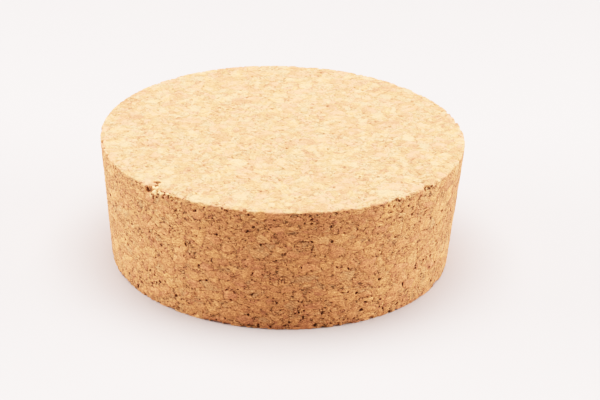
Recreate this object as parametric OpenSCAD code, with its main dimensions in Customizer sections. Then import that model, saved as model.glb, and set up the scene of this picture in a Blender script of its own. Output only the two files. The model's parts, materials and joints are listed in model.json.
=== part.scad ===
// Tapered stopper pressed from cork granules, with its wide end up.
// One solid, in millimetres. Origin at the centre of the narrow face, +Z towards the wide face.

/* [Body] */
// Diameter across the wide face, measured to the sharp corner
wide_d = 85; // [60:1:120]
// Diameter across the narrow face, measured to the sharp corner
narrow_d = 80; // [55:1:115]
// Height from the narrow face to the wide face
height = 30; // [15:1:60]

/* [Rims] */
// Radius that handling has worn on the wide rim
wide_rim_r = 0.3; // [0.1:0.1:2]
// Radius that handling has worn on the narrow rim
narrow_rim_r = 0.3; // [0.1:0.1:2]

/* [Wear] */
// Radius of the hollow that the largest torn-out granule left on the wide rim
torn_granule_r = 1.3; // [0.6:0.1:2.5]
// Depth of each hollow below the worn rim, as a share of its radius
torn_granule_bite = 0.5; // [0.3:0.02:0.8]

/* [Hidden] */
$fn = 96;

wide_r = wide_d / 2;
narrow_r = narrow_d / 2;
// Lean of the side wall from the vertical, in degrees
side_lean = atan((wide_r - narrow_r) / height);

// Torn-out granules on the wide rim: [bearing in degrees from +X, size as a share of torn_granule_r]
TORN_GRANULES = [
    [227.5, 1.00],
    [231.5, 0.62],
    [236.0, 0.50],
    [246.0, 0.45],
    [259.5, 0.50],
    [288.0, 0.38],
    [306.5, 0.62],
    [319.5, 0.85],
];

// Centre of the arc that rounds a rim, as [radius, height]. At the wide rim the arc lies under the
// face and inside the leaning wall; at the narrow rim it lies above the face.
wide_arc = [wide_r - wide_rim_r * (1 + sin(side_lean)) / cos(side_lean), height - wide_rim_r];
narrow_arc = [narrow_r - narrow_rim_r * (1 - sin(side_lean)) / cos(side_lean), narrow_rim_r];

// Points of an arc round a centre, from one bearing to another
function arc(centre, r, from, to, steps) = [
    for (i = [0:steps])
        let (bearing = from + (to - from) * i / steps)
            centre + r * [cos(bearing), sin(bearing)]
];

// Half of the stopper's section: flat faces, a straight leaning wall and two rounded rims
module half_section() {
    polygon(concat(
        [[0, 0]],
        arc(narrow_arc, narrow_rim_r, -90, -side_lean, 4),
        arc(wide_arc, wide_rim_r, -side_lean, 90, 4),
        [[0, height]]
    ));
}

// The hollow that one torn-out granule left, centred just outside the middle of the wide rim's arc
module torn_granule(bearing, r) {
    outwards = (90 - side_lean) / 2;
    outside = wide_rim_r + r * (1 - torn_granule_bite);
    centre = wide_arc + outside * [cos(outwards), sin(outwards)];
    rotate([0, 0, bearing])
        translate([centre[0], 0, centre[1]])
            sphere(r);
}

module stopper() {
    color("burlywood")
        difference() {
            rotate_extrude()
                half_section();
            for (granule = TORN_GRANULES)
                torn_granule(granule[0], granule[1] * torn_granule_r);
        }
}

stopper();
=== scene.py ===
"""A tapered stopper pressed from cork granules, standing on its narrow end in soft studio light.

One description of the cork's grain, grain(), is read twice: as arrays it shapes the relief of the mesh,
and as shader nodes it colours it, so that every joint and pit is hollow and dark in the same place. The
pits' dark is painted shade.
Lengths of the grain, the relief, the marks and the crumbs are in millimetres. All others are in metres.
"""
import itertools
import json
import math

import bpy
import numpy as np
from mathutils import Matrix, Vector


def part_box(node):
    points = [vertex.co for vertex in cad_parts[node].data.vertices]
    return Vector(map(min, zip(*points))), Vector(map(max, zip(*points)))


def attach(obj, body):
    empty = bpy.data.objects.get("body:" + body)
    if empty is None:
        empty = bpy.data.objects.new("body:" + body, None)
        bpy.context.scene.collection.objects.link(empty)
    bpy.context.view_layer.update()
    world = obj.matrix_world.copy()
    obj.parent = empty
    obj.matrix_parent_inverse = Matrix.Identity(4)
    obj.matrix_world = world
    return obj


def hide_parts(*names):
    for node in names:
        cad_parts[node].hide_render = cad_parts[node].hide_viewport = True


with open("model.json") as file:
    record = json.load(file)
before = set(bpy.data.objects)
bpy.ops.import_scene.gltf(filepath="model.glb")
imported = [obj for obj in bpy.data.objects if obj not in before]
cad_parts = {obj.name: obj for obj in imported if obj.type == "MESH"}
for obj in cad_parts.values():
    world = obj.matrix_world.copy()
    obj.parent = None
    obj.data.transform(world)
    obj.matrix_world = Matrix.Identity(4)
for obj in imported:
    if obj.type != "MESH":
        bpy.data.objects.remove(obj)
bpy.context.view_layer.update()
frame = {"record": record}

MM = 0.001

# The stopper's own sizes. The frame gives its box, and the plug's radius half way up.
NODE = "stopper"
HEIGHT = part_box(NODE)[1].z
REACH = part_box(NODE)[1].x
PLUG = next(mount for mount in frame["record"]["mounts"] if mount["name"] == "plug_taper")
MIDDLE_R = PLUG["dims"]["r_mm"] * MM
WIDE_RIM = 0.3 * MM
NARROW_RIM = 0.3 * MM

# Spacing of the surface's points before they are thinned, the points across each rounded rim, and the
# triangles kept after the thinning
SPACING = 0.2 * MM
RIM_POINTS = 6
TRIANGLES = 194000

# Torn-out granules on the wide rim: bearing in degrees from +X, and the hollow's radius
TORN_GRANULES = (
    (227.5, 1.30 * MM),
    (231.5, 0.80 * MM),
    (236.0, 0.65 * MM),
    (246.0, 0.60 * MM),
    (259.5, 0.65 * MM),
    (288.0, 0.50 * MM),
    (306.5, 0.80 * MM),
    (319.5, 1.10 * MM),
)

# The broken stretch of the wide rim: its middle bearing and half its turn in degrees, and its reach
BROKEN_RIM = (234.5, 7.5, 1.2 * MM)

# Deep marks near the rims and on the wall, pressed into the mesh and darkened with painted shade: bearing in
# degrees, drop from the wide face (less than nothing is in from the rim, across the face), half length, half
# width, and slant in degrees from the level
MARKS = (
    (226.5, 0.8, 1.00, 0.75, 50),
    (226.5, -2.8, 0.95, 0.60, 45),
    (228.0, -1.6, 0.45, 0.55, 0),
    (228.5, 2.2, 0.40, 0.20, 90),
    (230.0, 2.0, 0.25, 0.20, 0),
    (232.0, -0.3, 0.80, 0.25, 20),
    (232.5, 1.5, 0.40, 0.25, 30),
    (234.5, 0.9, 0.30, 0.20, 60),
    (236.0, 0.4, 0.30, 0.16, 90),
    (236.0, 1.4, 0.25, 0.18, 0),
    (236.0, 28.8, 0.40, 0.22, 130),
    (237.5, 0.4, 0.30, 0.16, 70),
    (242.0, 0.6, 0.30, 0.16, 110),
    (244.0, 8.5, 0.25, 0.16, 135),
    (247.0, 0.9, 0.30, 0.20, 45),
    (250.0, 29.2, 0.30, 0.20, 170),
    (253.5, 20.8, 0.30, 0.16, 60),
    (254.0, 0.7, 0.60, 0.18, 155),
    (261.5, 29.3, 1.20, 0.18, 175),
    (265.5, 19.7, 0.30, 0.16, 35),
    (267.0, 3.7, 0.25, 0.18, 45),
    (272.0, 29.1, 0.60, 0.24, 5),
    (275.0, 0.9, 0.30, 0.16, 20),
    (276.0, 29.2, 0.70, 0.20, 0),
    (277.0, 0.5, 0.35, 0.16, 65),
    (279.0, 1.8, 0.50, 0.24, 35),
    (281.5, 29.0, 0.80, 0.24, 20),
    (284.5, 25.7, 0.40, 0.15, 35),
    (287.0, 29.1, 0.55, 0.20, 165),
    (288.0, 4.3, 0.25, 0.16, 35),
    (296.0, 11.1, 0.25, 0.16, 135),
    (303.5, 1.1, 0.30, 0.20, 90),
    (305.5, 1.7, 0.50, 0.22, 60),
    (307.0, -0.3, 0.30, 0.40, 0),
    (307.5, 0.7, 0.45, 0.20, 120),
    (308.5, 5.1, 0.45, 0.20, 30),
    (309.0, 3.6, 0.50, 0.20, 50),
    (311.5, 1.1, 0.40, 0.20, 80),
    (312.5, 13.6, 0.30, 0.14, 175),
    (313.5, 5.3, 0.45, 0.22, 60),
    (315.5, 2.3, 0.45, 0.18, 45),
    (316.5, 1.5, 0.35, 0.22, 45),
    (318.0, 0.2, 0.35, 0.25, 60),
    (320.0, -0.5, 0.55, 0.40, 5),
    (320.5, 0.8, 0.45, 0.24, 0),
    (321.5, 0.4, 0.25, 0.30, 90),
)

# Pale crumbs that stand along the torn rim, in the same columns as the marks. Their pale colour is a painted
# highlight, the light that their raised tops catch
CRUMBS = (
    (227.5, 2.1, 0.70, 0.45, 30),
    (228.5, -0.8, 0.90, 0.60, 0),
    (229.0, 0.9, 0.80, 0.55, 20),
    (231.5, 0.7, 0.95, 0.45, 10),
    (234.0, 0.3, 0.45, 0.40, 40),
    (235.0, 0.5, 0.25, 0.35, 0),
    (236.5, 0.3, 0.25, 0.35, 0),
    (307.0, 0.2, 0.50, 0.30, 10),
    (309.5, 0.4, 0.30, 0.30, 0),
    (319.0, 0.3, 0.35, 0.30, 20),
    (322.5, 0.4, 0.35, 0.30, 60),
)

# The grain: how far and how finely it bends, the size of its granules, and its joints and pits
BEND_PITCH = 5.0
BEND = 1.1
CURL_PITCH = 1.1
CURL = 0.35
SQUASH = 1.75
BIG_GRANULE = 3.4
SMALL_GRANULE = 1.3
CRUMB_BAND = 0.16
BROKEN_SHARE = 0.42
PIT_PITCH = 1.15
PIT_RADIUS = 0.34
PINHOLE_PITCH = 0.62
PINHOLE_RADIUS = 0.20

# The relief: how much the granules' levels differ, the groove along a joint, how far the highest granules
# and the crumbs stand out of the smooth surface, and the deepest hollow
LEVEL_SPREAD = 0.11
GROOVE_DEPTH = 0.10
GROOVE_REACH = 0.25
PROUD = 0.08
CRUMB_RISE = 0.28
DEEPEST = 1.2

# How much of the relief sanding took off the wide face and the narrow face
WIDE_SANDED = 0.55
NARROW_SANDED = 0.8

# How far in from the level of a face its pale look starts, and where it is full. The pale look is partly
# sanding dust and partly painted sheen
DUST_AND_SHEEN_START = 0.45
DUST_AND_SHEEN_FULL = 0.15

# How far from a rim its loose granules reach, and how deep it is lost at pale granules and worn stretches
LOOSE_REACH = 0.6
LOOSE_DEPTH = 0.35
CHEWED_DEPTH = 0.28

# Pitches of the light and dark flecks from the widest to the finest, and of the growth lines
CLOUD_PITCH = 1.6
FLECK_PITCH = 0.50
FINE_PITCH = 0.26
FINEST_PITCH = 0.13
LINE_PITCH = 0.52


# ------------------------------------------------------------------ the grain's two kits

def rolled(word, shift):
    """A word of 32 bits with its bits moved round to the left."""
    return (word << np.uint32(shift)) | (word >> np.uint32(32 - shift))


def scramble(words):
    """A number from 0 to 1 for each set of three or four words of 32 bits, the shader's own way."""
    seed = np.uint32(0xDEADBEEF + (len(words) << 2) + 13)
    a, b, c = (word + seed for word in words[:3])
    if len(words) == 4:
        for shift in (4, 6, 8, 16, 19, 4):
            a, c = (a - c) ^ rolled(c, shift), c + b
            a, b, c = b, c, a
        a = a + words[3]
    for shift in (14, 11, 25, 16, 4, 14, 24):
        c = (c ^ b) - rolled(b, shift)
        a, b, c = b, c, a
    return b


def bits(numbers):
    """The bits of single-precision numbers, as words."""
    return np.ascontiguousarray(numbers, np.float32).view(np.uint32)


class Arrays:
    """The grain's kit for the mesh: a place is an (n, 3) array and a number is an (n,) array."""

    def vector(self, x, y, z):
        return np.stack([x, y, z], 1)

    def stretched(self, place, factors):
        return place * np.array(factors)

    def smooth(self, value, low, high):
        share = np.clip((value - low) / (high - low), 0.0, 1.0)
        return share * share * (3.0 - 2.0 * share)

    def above(self, value, limit):
        return (value > limit) * 1.0

    def least(self, first, second):
        return np.minimum(first, second)

    def noise(self, place, pitch, shift):
        """Gradient noise from -1 to 1: eight corner slopes blended by the fifth-power fade."""
        place = place / pitch + shift
        cell = np.floor(place)
        inside = place - cell
        fade = inside ** 3 * (inside * (inside * 6.0 - 15.0) + 10.0)
        total = 0.0
        for corner in itertools.product((0, 1), repeat=3):
            words = [(cell[:, axis] + corner[axis]).astype(np.int64).astype(np.uint32) for axis in range(3)]
            slope = scramble(words) & np.uint32(15)
            x, y, z = (inside - corner).T
            first = np.where(slope < 8, x, y)
            second = np.where(slope < 4, y, np.where((slope == 12) | (slope == 14), x, z))
            value = np.where(slope & 1, -first, first) + np.where(slope & 2, -second, second)
            total = total + value * np.where(corner, fade, 1.0 - fade).prod(1)
        return total * 0.982

    def cells(self, place, size):
        """Distances to the nearest seed and the nearest joint, and that seed's three random numbers."""
        place = place / size
        cell = np.floor(place).astype(int)
        first = cell.min(0) - 1
        block = np.moveaxis(np.indices(cell.max(0) + 2 - first), 0, -1) + first
        words = [bits(block[..., axis]) for axis in range(3)]
        fixed = [np.full_like(words[0], bits(number)) for number in (1.0, 2.0)]
        random = np.stack([scramble(words), scramble(words + fixed[:1]), scramble(words + fixed[1:])], -1)
        random = random / float(0xFFFFFFFF)
        nearest = np.full(len(place), 9.0)
        to_seed = np.zeros_like(place)
        chosen = np.zeros_like(place)
        around = list(itertools.product((-1, 0, 1), repeat=3))
        for step in around:
            values = random[tuple((cell - first + step).T)]
            away = cell + step + values - place
            distance = np.linalg.norm(away, axis=1)
            closer = distance < nearest
            nearest[closer] = distance[closer]
            to_seed[closer] = away[closer]
            chosen[closer] = values[closer]
        joint = np.full(len(place), 9.0)
        for step in around:
            away = cell + step + random[tuple((cell - first + step).T)] - place
            across = away - to_seed
            length = np.linalg.norm(across, axis=1)
            reach = ((away + to_seed) * across).sum(1) / (2.0 * np.maximum(length, 1e-6))
            joint = np.where(length > 1e-4, np.minimum(joint, reach), joint)
        return nearest * size, joint * size, chosen.T


class Value:
    """A node's output that Python's operators can work on. Each operator adds the node that does it."""

    def __init__(self, shader, socket):
        self.shader = shader
        self.socket = socket

    def worked(self, operation, first, second):
        if self.socket.type == "VALUE":
            return self.shader.node("ShaderNodeMath", {"operation": operation}, {0: first, 1: second})
        pair = [(term,) * 3 if isinstance(term, (int, float)) else term for term in (first, second)]
        return self.shader.node("ShaderNodeVectorMath", {"operation": operation}, {0: pair[0], 1: pair[1]})

    def __add__(self, other):
        return self.worked("ADD", self, other)

    def __radd__(self, other):
        return self.worked("ADD", other, self)

    def __sub__(self, other):
        return self.worked("SUBTRACT", self, other)

    def __rsub__(self, other):
        return self.worked("SUBTRACT", other, self)

    def __mul__(self, other):
        return self.worked("MULTIPLY", self, other)

    def __rmul__(self, other):
        return self.worked("MULTIPLY", other, self)


class Shader:
    """The grain's kit for a material: a place is a vector output and a number is a value output."""

    def __init__(self, name):
        self.material = bpy.data.materials.new(name)
        self.material.use_nodes = True
        self.tree = self.material.node_tree
        self.tree.nodes.clear()

    def node(self, kind, settings, inputs, output=0):
        """Adds a node, sets it up, fills or links its inputs, and gives one of its outputs."""
        made = self.tree.nodes.new(kind)
        for name, setting in settings.items():
            if name == "stops":
                self.set_stops(made.color_ramp, setting)
            else:
                setattr(made, name, setting)
        for name, term in inputs.items():
            if isinstance(term, Value):
                self.tree.links.new(term.socket, made.inputs[name])
            else:
                made.inputs[name].default_value = term
        if isinstance(output, tuple):
            return [Value(self, made.outputs[name]) for name in output]
        return Value(self, made.outputs[output]) if made.outputs else None

    def set_stops(self, ramp, stops):
        while len(ramp.elements) < len(stops):
            ramp.elements.new(1.0)
        for element, (position, colour) in zip(ramp.elements, stops):
            element.position = position
            element.color = (*colour, 1.0)

    def vector(self, x, y, z):
        return self.node("ShaderNodeCombineXYZ", {}, {0: x, 1: y, 2: z})

    def stretched(self, place, factors):
        return self.node("ShaderNodeVectorMath", {"operation": "MULTIPLY"}, {0: place, 1: factors})

    def smooth(self, value, low, high):
        inputs = {"Value": value, "From Min": low, "From Max": high}
        return self.node("ShaderNodeMapRange", {"interpolation_type": "SMOOTHSTEP"}, inputs)

    def above(self, value, limit):
        return self.node("ShaderNodeMath", {"operation": "GREATER_THAN"}, {0: value, 1: limit})

    def least(self, first, second):
        return self.node("ShaderNodeMath", {"operation": "MINIMUM"}, {0: first, 1: second})

    def most(self, first, second):
        return self.node("ShaderNodeMath", {"operation": "MAXIMUM"}, {0: first, 1: second})

    def noise(self, place, pitch, shift):
        """Gradient noise from -1 to 1, without octaves."""
        scaled = place * (1.0 / pitch) + shift
        fac = self.node("ShaderNodeTexNoise", {}, {"Vector": scaled, "Scale": 1.0, "Detail": 0.0})
        return fac * 2.0 - 1.0

    def cells(self, place, size):
        """Distances to the nearest seed and the nearest joint, and that seed's three random numbers."""
        scaled = place * (1.0 / size)
        inputs = {"Vector": scaled, "Scale": 1.0}
        names = ("Distance", "Color")
        distance, colour = self.node("ShaderNodeTexVoronoi", {"feature": "F1"}, inputs, names)
        joint = self.node("ShaderNodeTexVoronoi", {"feature": "DISTANCE_TO_EDGE"}, inputs)
        randoms = self.node("ShaderNodeSeparateXYZ", {}, {0: colour}, (0, 1, 2))
        return distance * size, joint * size, randoms


# ------------------------------------------------------------------ the grain itself

def swirl(kit, place, pitch, amount):
    """Moves a place by up to the amount, by three noises that are each read far from the others."""
    shifts = (3.7, 41.3, 83.9)
    x, y, z = (kit.noise(place, pitch, shift) for shift in shifts)
    return place + kit.vector(x, y, z) * amount


def grain(kit, place):
    """Reads the cork at a place in millimetres.

    Space is bent by two noises and squashed upwards, then cut into big cells round scattered seeds. Some
    big cells, and a band along every joint between them, are cut again into small cells, the crumbs.
    Pits are balls round a finer scatter of seeds, and they shrink away from the joints.
    """
    bent = swirl(kit, swirl(kit, place, BEND_PITCH, BEND), CURL_PITCH, CURL)
    flat = kit.stretched(bent, (1.0, 1.0, SQUASH))
    _, big_joint, big = kit.cells(flat, BIG_GRANULE)
    _, small_joint, small = kit.cells(flat, SMALL_GRANULE)
    whole = kit.above(big[0], BROKEN_SHARE)
    core = whole * kit.above(big_joint, CRUMB_BAND)
    inner = big_joint - CRUMB_BAND
    outer = kit.least(small_joint, whole * (CRUMB_BAND - big_joint) + (1.0 - whole) * big_joint)
    joint = core * inner + (1.0 - core) * outer
    tone = core * big[1] + (1.0 - core) * small[1]
    lean = core * big[2] + (1.0 - core) * small[2]
    seed, _, pits = kit.cells(bent, PIT_PITCH)
    radius = PIT_RADIUS * kit.smooth(pits[0], 0.45, 1.0) * (1.0 - 0.8 * kit.smooth(joint, 0.1, 0.5))
    return {
        "joint": joint, "tone": tone, "lean": lean, "core": core, "crumb": small[1],
        "pit": seed, "pit_radius": radius,
    }


# ------------------------------------------------------------------ the mesh

def section(spacing):
    """The profile from the wide face's edge down to the narrow face's edge, as radius, height and normal.

    A quarter turn rounds the wide rim, a straight wall leans in, and a quarter turn rounds the foot.
    """
    lean = math.atan((REACH - MIDDLE_R) / (HEIGHT / 2))
    wide_r = MIDDLE_R + HEIGHT / 2 * math.tan(lean)
    narrow_r = MIDDLE_R - HEIGHT / 2 * math.tan(lean)
    wide_in = wide_r - WIDE_RIM * (1 + math.sin(lean)) / math.cos(lean)
    narrow_in = narrow_r - NARROW_RIM * (1 - math.sin(lean)) / math.cos(lean)
    wide_turn = np.linspace(math.pi / 2, -lean, RIM_POINTS)
    narrow_turn = np.linspace(-lean, -math.pi / 2, RIM_POINTS)
    top = [wide_in + WIDE_RIM * np.cos(wide_turn), HEIGHT - WIDE_RIM + WIDE_RIM * np.sin(wide_turn)]
    foot = [narrow_in + NARROW_RIM * np.cos(narrow_turn), NARROW_RIM + NARROW_RIM * np.sin(narrow_turn)]
    rows = round(HEIGHT / spacing)
    share = np.linspace(0.0, 1.0, rows)[1:-1]
    wall = [top[i][-1] + (foot[i][0] - top[i][-1]) * share for i in (0, 1)]
    turn = np.concatenate([wide_turn, np.full(len(share), -lean), narrow_turn])
    radius, height = (np.concatenate([top[i], wall[i], foot[i]]) for i in (0, 1))
    return radius, height, np.cos(turn), np.sin(turn)


def unit_disc(count):
    """A square grid pressed into a disc: squares about the centre become circles, evenly spaced round."""
    u, v = np.meshgrid(np.linspace(-1, 1, count + 1), np.linspace(-1, 1, count + 1), indexing="ij")
    across = np.abs(u) >= np.abs(v)
    major = np.where(across, u, v)
    minor = np.where(across, v, u)
    turn = math.pi / 4 * minor / np.where(major == 0, 1.0, major)
    long = major * np.cos(turn)
    short = major * np.sin(turn)
    return np.where(across, long, short).ravel(), np.where(across, short, long).ravel()


def grid_quads(index):
    """The quads between neighbouring entries of a grid of point numbers."""
    return np.stack([index[:-1, :-1], index[1:, :-1], index[1:, 1:], index[:-1, 1:]], -1).reshape(-1, 4)


def smooth_surface():
    """The stopper before its relief: points, outward normals and quads of a closed skin.

    Two pressed square grids make the faces, and a grid of bearing by profile makes the wall. The wall's
    first and last rows are the faces' own edge points.
    """
    spacing = SPACING
    radius, height, out, up = section(spacing)
    count = round(math.tau * radius.max() / spacing / 4)
    x, y = unit_disc(count)
    edge = np.flatnonzero(np.isclose(np.hypot(x, y), 1.0))
    bearing = np.arctan2(y[edge], x[edge]) % math.tau
    edge = edge[np.argsort(bearing)]
    bearing = np.sort(bearing)
    around = len(edge)
    level = np.ones_like(x)
    top = np.stack([x * radius[0], y * radius[0], level * height[0]], 1)
    foot = np.stack([x * radius[-1], y * radius[-1], level * height[-1]], 1)
    inner = slice(1, -1)
    ring = np.stack([np.cos(bearing), np.sin(bearing), np.zeros(around)], 1)
    upright = np.array([0.0, 0.0, 1.0])
    wall = ring * radius[inner, None, None] + upright * height[inner, None, None]
    wall_normal = ring * out[inner, None, None] + upright * up[inner, None, None]
    rows = len(radius) - 2
    first = 2 * len(x)
    index = first + np.arange(rows * around).reshape(rows, around)
    index = np.vstack([edge, index, len(x) + edge])
    index = np.hstack([index, index[:, :1]])
    grid = np.arange(len(x)).reshape(count + 1, count + 1)
    points = np.vstack([top, foot, wall.reshape(-1, 3)])
    normals = np.vstack([upright * level[:, None], -upright * level[:, None], wall_normal.reshape(-1, 3)])
    quads = np.vstack([grid_quads(grid), len(x) + grid_quads(grid.T), grid_quads(index)])
    return points, normals, quads


def torn_depth(points):
    """Depth of the torn-out granules' hollows, in millimetres: a bowl at each bearing."""
    depth = np.zeros(len(points))
    for bearing, size in TORN_GRANULES:
        turn = math.radians(bearing)
        centre = np.array([REACH * math.cos(turn), REACH * math.sin(turn), HEIGHT])
        away = np.linalg.norm(points - centre, axis=1) / size
        depth = np.maximum(depth, np.sqrt(np.clip(1.0 - away ** 2, 0.0, 1.0)) * size / MM * 0.9)
    return depth


def broken_rim(points):
    """Depth of the rim's broken stretch, in millimetres: a bevel that runs out at both ends."""
    bearing, half, reach = BROKEN_RIM
    turned = np.degrees(np.arctan2(points[:, 1], points[:, 0])) % 360.0 - bearing
    edge = np.hypot(np.hypot(points[:, 0], points[:, 1]) - REACH, points[:, 2] - HEIGHT)
    ends = np.clip(2.0 - 2.0 * np.abs(turned) / half, 0.0, 1.0)
    return np.clip(1.0 - edge / reach, 0.0, 1.0) * ends * 0.8 * reach / MM


def ovals(place, table):
    """How far inside a mark or a crumb each place is, and how deep a mark is there.

    Each one is an ellipsoid turned by its slant. The share is one less the squares of the distances along
    it in half lengths, across it in half widths, and into the surface in three half widths. So it is 1 at
    the middle and 0 at the edge. The depth is 1.6 half widths times the share's square root.
    """
    share = np.zeros(len(place))
    depth = np.zeros(len(place))
    lean = (REACH - MIDDLE_R) / (HEIGHT / 2)
    for bearing, drop, long, wide, slant in table:
        turn, tilt = math.radians(bearing), math.radians(slant)
        out = np.array([math.cos(turn), math.sin(turn), 0.0])
        level = np.array([-math.sin(turn), math.cos(turn), 0.0])
        up = np.array([0.0, 0.0, 1.0])
        if drop > 0:
            across, inwards = up, out
            centre = out * (REACH / MM - drop * lean) + up * (HEIGHT / MM - drop)
        else:
            across, inwards = -out, up
            centre = out * (REACH / MM + drop) + up * (HEIGHT / MM)
        away = place - centre
        along = away @ (level * math.cos(tilt) + across * math.sin(tilt)) / long
        beside = away @ (across * math.cos(tilt) - level * math.sin(tilt)) / wide
        inside = np.clip(1.0 - along ** 2 - beside ** 2 - (away @ inwards / (3.0 * wide)) ** 2, 0.0, 1.0)
        share = np.maximum(share, inside)
        depth = np.maximum(depth, np.sqrt(inside) * 1.6 * wide)
    return share, depth


def loose_depth(kit, points, cork):
    """Depth of the granules lost along both rims, in millimetres: a bell round each, times its looseness."""
    radius = np.hypot(points[:, 0], points[:, 1])
    rim = np.hypot(radius - REACH, points[:, 2] - HEIGHT) / MM
    foot = np.hypot(radius - 2 * MIDDLE_R + REACH, points[:, 2]) / MM
    chewed = kit.smooth(kit.noise(points / MM, 1.1, 23.0), 0.0, 0.6)
    loose = LOOSE_DEPTH * kit.smooth(cork["tone"], 0.78, 0.95) + CHEWED_DEPTH * chewed
    return loose * (np.exp(-(rim / LOOSE_REACH) ** 2) + 1.2 * np.exp(-(foot / LOOSE_REACH) ** 2))


def relief(points, normals):
    """Depth below the smooth surface at each point, in millimetres, and how dark it is, from 0 to 1. The
    darkness is painted shade, deeper where the rims are torn, where granules are lost, and inside the marks.

    It adds each granule's own level, a groove at the joints, the pits' bowls, the marks and the torn rims.
    A crumb fills the hollow under it and stands out, and there the darkness goes down to -1, for pale: a
    painted highlight.
    The flat faces were cut and sanded after the wall was ground, so they are the smoother ones.
    """
    kit = Arrays()
    place = points / MM
    cork = grain(kit, place)
    sanded = np.where(normals[:, 2] > 0.0, WIDE_SANDED, NARROW_SANDED)
    ground = 1.0 - sanded * np.abs(normals[:, 2])
    level = LEVEL_SPREAD * cork["lean"]
    groove = GROOVE_DEPTH * (1.0 - kit.smooth(cork["joint"], 0.0, GROOVE_REACH))
    bowl = 1.2 * np.sqrt(np.clip(cork["pit_radius"] ** 2 - cork["pit"] ** 2, 0.0, None))
    loose = loose_depth(kit, points, cork)

    # Coarse and fine noise make the torn rim ragged, and bend the outlines of the marks and crumbs
    ragged = 1.0 + 0.9 * kit.noise(place, 0.8, 11.0) + 0.6 * kit.noise(place, 0.4, 29.0)
    torn = torn_depth(points) * np.clip(ragged, 0.0, 1.6)
    broken = broken_rim(points) * np.clip(ragged, 0.4, 1.4)
    wavy = place + 0.12 * kit.noise(place, 0.5, 37.0)[:, None]
    share, gouge = ovals(wavy, MARKS)
    crumb = kit.smooth(ovals(wavy, CRUMBS)[0], 0.0, 0.5)

    skin = (level + groove) * ground - PROUD
    hollow = bowl * ground ** 0.5 + loose + np.maximum(torn, broken)
    hollow = np.maximum(hollow * (1.0 - crumb) - CRUMB_RISE * crumb, gouge)
    # Painted shade where the torn rims and lost granules go deep and inside the marks, and a painted
    # highlight on the crumbs
    dark = kit.smooth(torn + loose, 0.4, 1.0) * 0.8 * (1.0 - crumb) - crumb
    dark = np.where(share > 0.0, np.maximum(dark, kit.smooth(share, 0.0, 0.5)), dark)
    return np.minimum(skin + hollow, DEEPEST), dark


def mesh_object(name, points, quads):
    """A mesh object from arrays of points and quads."""
    mesh = bpy.data.meshes.new(name)
    mesh.vertices.add(len(points))
    mesh.vertices.foreach_set("co", points.astype(np.float32).ravel())
    mesh.loops.add(quads.size)
    mesh.loops.foreach_set("vertex_index", quads.astype(np.int32).ravel())
    mesh.polygons.add(len(quads))
    mesh.polygons.foreach_set("loop_start", np.arange(0, quads.size, 4, dtype=np.int32))
    mesh.update(calc_edges=True)
    mesh.validate()
    made = bpy.data.objects.new(name, mesh)
    bpy.context.scene.collection.objects.link(made)
    return made


def thinned(piece, triangles):
    """Thins the mesh where it is flat, so that the pits and joints keep the points that they need."""
    modifier = piece.modifiers.new("thin", "DECIMATE")
    modifier.ratio = min(1.0, triangles / (2 * len(piece.data.polygons)))
    modifier.use_collapse_triangulate = True
    graph = bpy.context.evaluated_depsgraph_get()
    mesh = bpy.data.meshes.new_from_object(piece.evaluated_get(graph))
    piece.modifiers.clear()
    piece.data = mesh


def make_stopper():
    """The stopper's skin: the smooth surface, pressed in by the relief along its normals."""
    points, normals, quads = smooth_surface()
    depth, dark = relief(points, normals)
    points = points - normals * depth[:, None] * MM
    points[:, 2] = np.maximum(points[:, 2], 0.0)
    piece = mesh_object("cork_stopper", points, quads)
    # The painted shade of the hollows and the painted highlight of the crumbs ride on the mesh as a point
    # attribute
    hollow = piece.data.attributes.new("hollow", "FLOAT", "POINT")
    hollow.data.foreach_set("value", dark.astype(np.float32))
    thinned(piece, TRIANGLES)
    piece.data.shade_smooth()
    piece.data.materials.clear()
    piece.data.materials.append(cork_finish())
    return piece


# ------------------------------------------------------------------ the finishes

# The granules' tans from one end of their range to the other, then the joints' seams, the painted shade of
# the hollows, pits and pinholes, the sanded faces' dust with painted sheen, and the crumbs' painted
# highlight
CORK_HUES = (
    (0.00, (0.497, 0.214, 0.111)),
    (0.10, (0.538, 0.236, 0.115)),
    (0.30, (0.571, 0.258, 0.122)),
    (0.50, (0.584, 0.270, 0.124)),
    (0.70, (0.593, 0.279, 0.124)),
    (0.86, (0.613, 0.296, 0.140)),
    (0.94, (0.564, 0.284, 0.135)),
    (1.00, (0.488, 0.254, 0.127)),
)
SEAM_COLOUR = (0.119, 0.061, 0.029)
HOLLOW_SHADE_COLOUR = (0.093, 0.041, 0.019)
ROSY_DUST_AND_SHEEN = (0.655, 0.312, 0.192)
STRAW_DUST_AND_SHEEN = (0.600, 0.362, 0.202)
CRUMB_HIGHLIGHT_COLOUR = (0.800, 0.470, 0.240)


def blend(shader, share, first, second):
    """Two colours mixed by a share from 0 to 1."""
    settings = {"data_type": "RGBA"}
    inputs = {0: share}
    for number, term in ((6, first), (7, second)):
        inputs[number] = term if isinstance(term, Value) else (*term, 1.0)
    return shader.node("ShaderNodeMix", settings, inputs, 2)


def growth_lines(shader, place, cork):
    """Fine parallel lines, from -1 to 1, that cross each granule in a direction of its own."""
    direction = shader.vector(cork["lean"] - 0.5, cork["tone"] - 0.5, 0.6)
    unit = shader.node("ShaderNodeVectorMath", {"operation": "NORMALIZE"}, {0: direction})
    along = shader.node("ShaderNodeVectorMath", {"operation": "DOT_PRODUCT"}, {0: place, 1: unit}, 1)
    wander = shader.noise(place, 0.9, 31.0)
    turns = along * (math.tau / LINE_PITCH) + wander * 2.5
    return shader.node("ShaderNodeMath", {"operation": "SINE"}, {0: turns})


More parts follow.
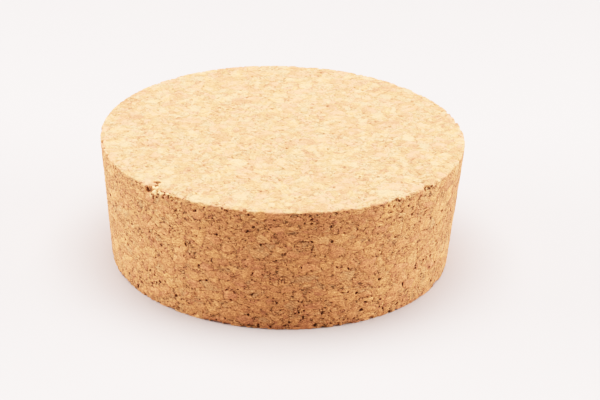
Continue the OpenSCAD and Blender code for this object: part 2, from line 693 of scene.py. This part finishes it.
def cork_finish():
    """Pressed cork: granules of many tans with faint growth lines, dark joints, pits darkened with painted
    shade, and fine grain.
    """
    shader = Shader("cork")
    place = shader.node("ShaderNodeTexCoord", {}, {}, "Object") * (1.0 / MM)
    ragged = swirl(shader, place, 0.42, 0.10)
    cork = grain(shader, ragged)
    joint = cork["joint"]

    # Light and dark flecks, longer along the granules than across them
    upward = shader.node("ShaderNodeSeparateXYZ", {}, {0: place}, 2)
    long = shader.stretched(place, (0.70, 0.70, 1.30))
    cloud = shader.noise(long, CLOUD_PITCH, 9.0)
    fleck = shader.noise(long, FLECK_PITCH, 0.0)
    fine = shader.noise(long, FINE_PITCH, 5.0)
    finest = shader.noise(long, FINEST_PITCH, 17.0)
    lines = growth_lines(shader, ragged, cork)

    # 1 on the two sanded faces, 0 on the wall
    off_middle = shader.node("ShaderNodeMath", {"operation": "ABSOLUTE"}, {0: upward - HEIGHT / MM / 2})
    sanded = shader.smooth(off_middle, HEIGHT / MM / 2 - DUST_AND_SHEEN_START, HEIGHT / MM / 2 - DUST_AND_SHEEN_FULL)

    hue = cork["lean"] + cloud * 0.25 + fleck * 0.12
    colour = shader.node("ShaderNodeValToRGB", {"stops": CORK_HUES}, {0: hue})
    speckle = (0.22 * fleck + 0.47 * fine + 0.44 * finest) * (1.0 - 0.35 * sanded)
    shade = 0.85 + 0.16 * cork["tone"] + 0.07 * cloud + speckle
    shade = shade + lines * (0.03 + 0.08 * cork["lean"])
    colour = shader.node("ShaderNodeVectorMath", {"operation": "SCALE"}, {0: colour, "Scale": shade})

    # The sanded faces are painted paler: partly the dust that fills their pores, partly painted sheen
    dust_and_sheen_share = shader.smooth(0.2 * cork["tone"] + 0.8 * cork["crumb"] + 0.5 * cloud, 0.25, 0.85)
    dust_and_sheen = blend(shader, shader.smooth(cork["lean"] + 0.3 * cloud, 0.2, 0.8), ROSY_DUST_AND_SHEEN, STRAW_DUST_AND_SHEEN)
    colour = blend(shader, sanded * (0.12 + 0.48 * dust_and_sheen_share), colour, dust_and_sheen)

    # Dark seams: dashes along the joints, and short crooked strokes where a noise is near 0
    near = 1.0 - shader.smooth(joint, 0.03, 0.26)
    dash = shader.smooth(fleck * 0.6 + fine * 0.6 + cloud * 0.3, 0.05, 0.40)
    crook = shader.node("ShaderNodeMath", {"operation": "ABSOLUTE"}, {0: shader.noise(long, 0.72, 57.0)})
    broken = shader.smooth(shader.noise(place, 0.9, 71.0) + 0.5 * fine, -0.03, 0.22)
    stroke = (1.0 - shader.smooth(crook, 0.05, 0.22)) * broken * (0.95 - 0.6 * cork["core"])
    seam = shader.most(near * (0.08 + 0.72 * dash), stroke) * (1.0 - 0.4 * sanded)
    colour = blend(shader, seam, colour, SEAM_COLOUR)

    # Pinholes are balls round a fine scatter of seeds, and most are by the joints. Their dark is painted
    # shade
    pinhole, _, pinholes = shader.cells(ragged, PINHOLE_PITCH)
    pinhole_radius = PINHOLE_RADIUS * shader.smooth(pinholes[0], 0.5, 1.0)
    small = shader.smooth(pinhole_radius - pinhole, -0.07, 0.05) * (1.0 - shader.smooth(joint, 0.2, 0.7))

    # The relief's own hollows and pale crumbs, with the pits and pinholes: painted shade in the hollows,
    # pits and pinholes, and a painted highlight on the crumbs
    depth = cork["pit_radius"] - cork["pit"] + 0.06 * fine
    pit = shader.smooth(depth, -0.10, 0.06) * (1.0 - 0.6 * sanded)
    hollow = shader.node("ShaderNodeAttribute", {"attribute_name": "hollow"}, {}, "Fac")
    colour = blend(shader, shader.smooth(0.0 - hollow, 0.15, 0.65) * (0.85 + fine), colour, CRUMB_HIGHLIGHT_COLOUR)
    dark = shader.most(shader.most(pit, small * 0.75 * (1.0 - 0.8 * sanded)), hollow)
    colour = blend(shader, dark, colour, HOLLOW_SHADE_COLOUR)

    height = 0.03 * fleck + 0.03 * fine + 0.015 * finest - 0.06 * seam - 0.15 * dark
    normal = shader.node("ShaderNodeBump", {}, {"Distance": MM, "Height": height})
    roughness = 0.80 + 0.1 * fine
    inputs = {"Base Color": colour, "Roughness": roughness, "Normal": normal, "Specular IOR Level": 0.25}
    surface = shader.node("ShaderNodeBsdfPrincipled", {}, inputs)
    shader.node("ShaderNodeOutputMaterial", {}, {0: surface})
    return shader.material


def floor_paper():
    """Plain pale matt paper for the floor."""
    shader = Shader("floor_paper")
    inputs = {"Base Color": (*FLOOR_COLOUR, 1.0), "Roughness": 0.9, "Specular IOR Level": 0.2}
    surface = shader.node("ShaderNodeBsdfPrincipled", {}, inputs)
    shader.node("ShaderNodeOutputMaterial", {}, {0: surface})
    return shader.material


def backdrop_glow():
    """The backdrop is lit from behind, so it glows evenly."""
    shader = Shader("backdrop_glow")
    inputs = {"Color": (*BACKDROP_COLOUR, 1.0), "Strength": BACKDROP_STRENGTH}
    glow = shader.node("ShaderNodeEmission", {}, inputs)
    shader.node("ShaderNodeOutputMaterial", {}, {0: glow})
    return shader.material


# ------------------------------------------------------------------ the stage

FLOOR_REACH = 0.62
FLOOR_COLOUR = (0.485, 0.440, 0.431)
FLOOR_SQUARES = 32
BACKDROP_RISE = 0.18
BACKDROP_ROUND = 65
BACKDROP_UP = 9
BACKDROP_COLOUR = (1.0, 0.97, 0.96)
BACKDROP_STRENGTH = 1.25

# The soft lights: name, place, width and height, and power in watts
LIGHTS = (
    ("overhead", (0.0, 0.05, 0.62), (0.6, 0.5), 10.6),
    ("left_side", (-0.60, 0.0, 0.18), (0.5, 0.4), 6.7),
    ("right_side", (0.60, 0.0, 0.18), (0.5, 0.4), 6.5),
)
SURROUND_COLOUR = (1.0, 0.96, 0.94)
SURROUND_STRENGTH = 0.32

CAMERA_PLACE = (0.0, -0.40065, 0.20611)
CAMERA_TARGET = (0.00446, 0.0, 0.01268)
CAMERA_ROLL = 1.78
CAMERA_LENS = 112.3
CAMERA_SENSOR = 36.0

# The film's tones: the brightest level that it holds, the level it turns to middle grey, how steep its
# curve is, and how far the curve's top is lifted
FILM_WHITE = 4.0
FILM_MIDDLE = 0.60
FILM_CONTRAST = 1.6
FILM_TOP = 1.13
FILM_POINTS = 16


def make_floor():
    """A wide pale round floor under the stopper's foot: a pressed square grid."""
    x, y = unit_disc(FLOOR_SQUARES)
    points = np.stack([x, y, np.zeros_like(x)], 1) * FLOOR_REACH
    grid = np.arange(len(x)).reshape(FLOOR_SQUARES + 1, FLOOR_SQUARES + 1)
    floor = mesh_object("floor", points, grid_quads(grid))
    floor.data.materials.append(floor_paper())
    return floor


def make_backdrop():
    """A low pale sweep round the floor: a quarter arc turned round the middle."""
    round_points = np.linspace(0.0, math.tau, BACKDROP_ROUND)
    turn, lift = np.meshgrid(round_points, np.linspace(0.0, math.pi / 2, BACKDROP_UP))
    reach = FLOOR_REACH + BACKDROP_RISE * np.sin(lift)
    shape = (reach * np.cos(turn), reach * np.sin(turn), BACKDROP_RISE * (1.0 - np.cos(lift)))
    points = np.stack(shape, 2).reshape(-1, 3)
    sweep = mesh_object("backdrop", points, grid_quads(np.arange(turn.size).reshape(turn.shape)))
    sweep.data.materials.append(backdrop_glow())
    return sweep


def soft_box(name, place, size, power):
    """A rectangular soft light that faces the stopper's middle."""
    data = bpy.data.lights.new(name, "AREA")
    data.shape = "RECTANGLE"
    data.size, data.size_y = size
    data.energy = power
    box = bpy.data.objects.new(name, data)
    box.location = place
    middle = Vector((0.0, 0.0, HEIGHT / 2))
    box.rotation_euler = (Vector(place) - middle).to_track_quat("Z", "Y").to_euler()
    bpy.context.scene.collection.objects.link(box)


def light_stage():
    """A light tent: a large soft light overhead, one on each side, and a faint pale surround."""
    for light in LIGHTS:
        soft_box(*light)
    world = bpy.data.worlds.new("surround")
    world.use_nodes = True
    surround = world.node_tree.nodes["Background"]
    surround.inputs["Color"].default_value = (*SURROUND_COLOUR, 1.0)
    surround.inputs["Strength"].default_value = SURROUND_STRENGTH
    bpy.context.scene.world = world


def place_camera():
    """The camera looks down at the stopper from in front, tilted by a degree or two."""
    camera = bpy.data.objects.new("camera", bpy.data.cameras.new("camera"))
    camera.data.lens = CAMERA_LENS
    camera.data.sensor_width = CAMERA_SENSOR
    place = Vector(CAMERA_PLACE)
    turn = (place - Vector(CAMERA_TARGET)).to_track_quat("Z", "Y").to_matrix().to_4x4()
    roll = Matrix.Rotation(math.radians(CAMERA_ROLL), 4, "Z")
    camera.matrix_world = Matrix.Translation(place) @ turn @ roll
    bpy.context.scene.collection.objects.link(camera)
    bpy.context.scene.camera = camera


def develop_film():
    """The picture's tones: level ** contrast / (level ** contrast + middle ** contrast), times the top."""
    view = bpy.context.scene.view_settings
    view.view_transform = "Standard"
    view.use_curve_mapping = True
    mapping = view.curve_mapping
    mapping.white_level = (FILM_WHITE,) * 3
    curve = mapping.curves[3]
    shares = np.linspace(0.0, 1.0, FILM_POINTS) ** 2
    level = (shares * FILM_WHITE) ** FILM_CONTRAST
    tones = np.minimum(1.0, FILM_TOP * level / (level + FILM_MIDDLE ** FILM_CONTRAST))
    for share, tone in zip(shares[1:-1], tones[1:-1]):
        curve.points.new(share, tone)
    curve.points[-1].location = (1.0, tones[-1])
    for point in curve.points:
        point.handle_type = "AUTO_CLAMPED"
    mapping.update()


stopper = make_stopper()
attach(stopper, "root")
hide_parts(NODE)
make_floor()
make_backdrop()
light_stage()
place_camera()
develop_film()
